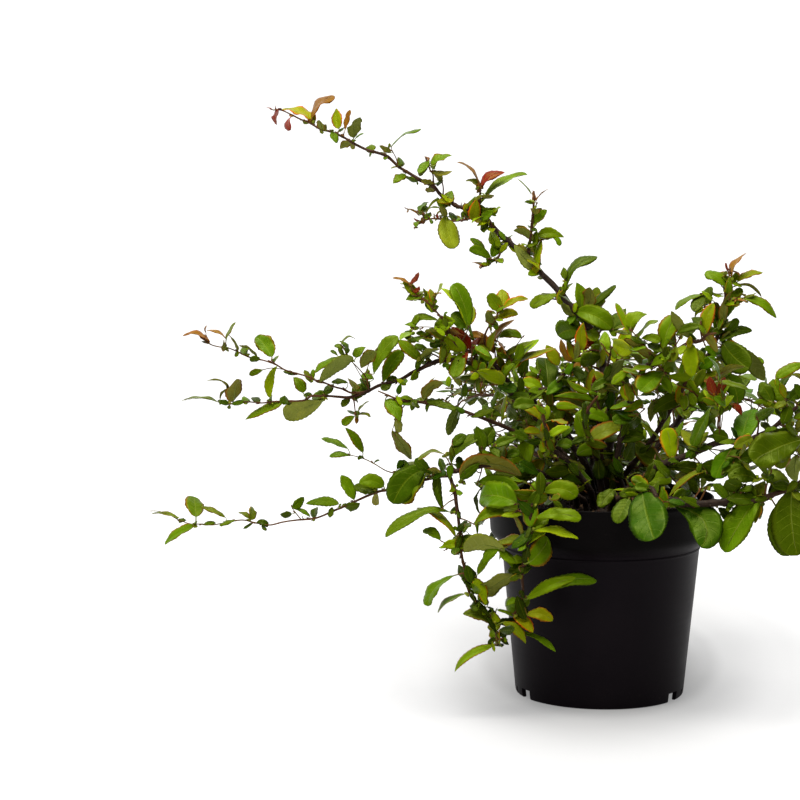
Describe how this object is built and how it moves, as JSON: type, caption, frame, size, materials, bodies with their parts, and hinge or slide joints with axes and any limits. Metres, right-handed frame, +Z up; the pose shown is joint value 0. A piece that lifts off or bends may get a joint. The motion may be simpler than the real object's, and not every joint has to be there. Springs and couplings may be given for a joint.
{
  "type": "potted flowering quince shrub",
  "caption": "Leafy quince shrub of arching thorny canes, rooted in potting soil and standing in a round tapered nursery pot with an upright collar.",
  "frame": {"origin": "centre of the pot's underside, at the level of its foot", "axes": "+Z up along the pot's axis, -Y towards the side that the picture shows, +X to the right as seen in the picture"},
  "size_m": [0.5667, 0.3548, 0.506],
  "materials": {
    "pot_plastic": "satin",
    "potting_soil": "matte",
    "leaf": "satin",
    "bark": "satin"
  },
  "bodies": {
    "root": {"nursery_pot": "pot_plastic", "potting_soil": "potting_soil", "cane_tall": "leaf", "cane_right_up": "leaf", "cane_right_mid": "leaf", "cane_left_long": "leaf", "cane_left_mid": "leaf", "cane_left_up": "leaf", "cane_centre_back": "leaf", "cane_front_left": "leaf", "cane_centre_front": "leaf", "cane_centre_up": "leaf", "cane_right_front": "leaf", "cane_right_leafy": "leaf", "cane_front_pot": "leaf", "cane_right_low": "leaf", "cane_front_pot2": "leaf", "cane_back_left": "leaf", "cane_back_middle": "leaf", "cane_back_right": "leaf", "cane_back_droop": "leaf", "cane_back_droop_left": "leaf"}
  },
  "joints": []
}
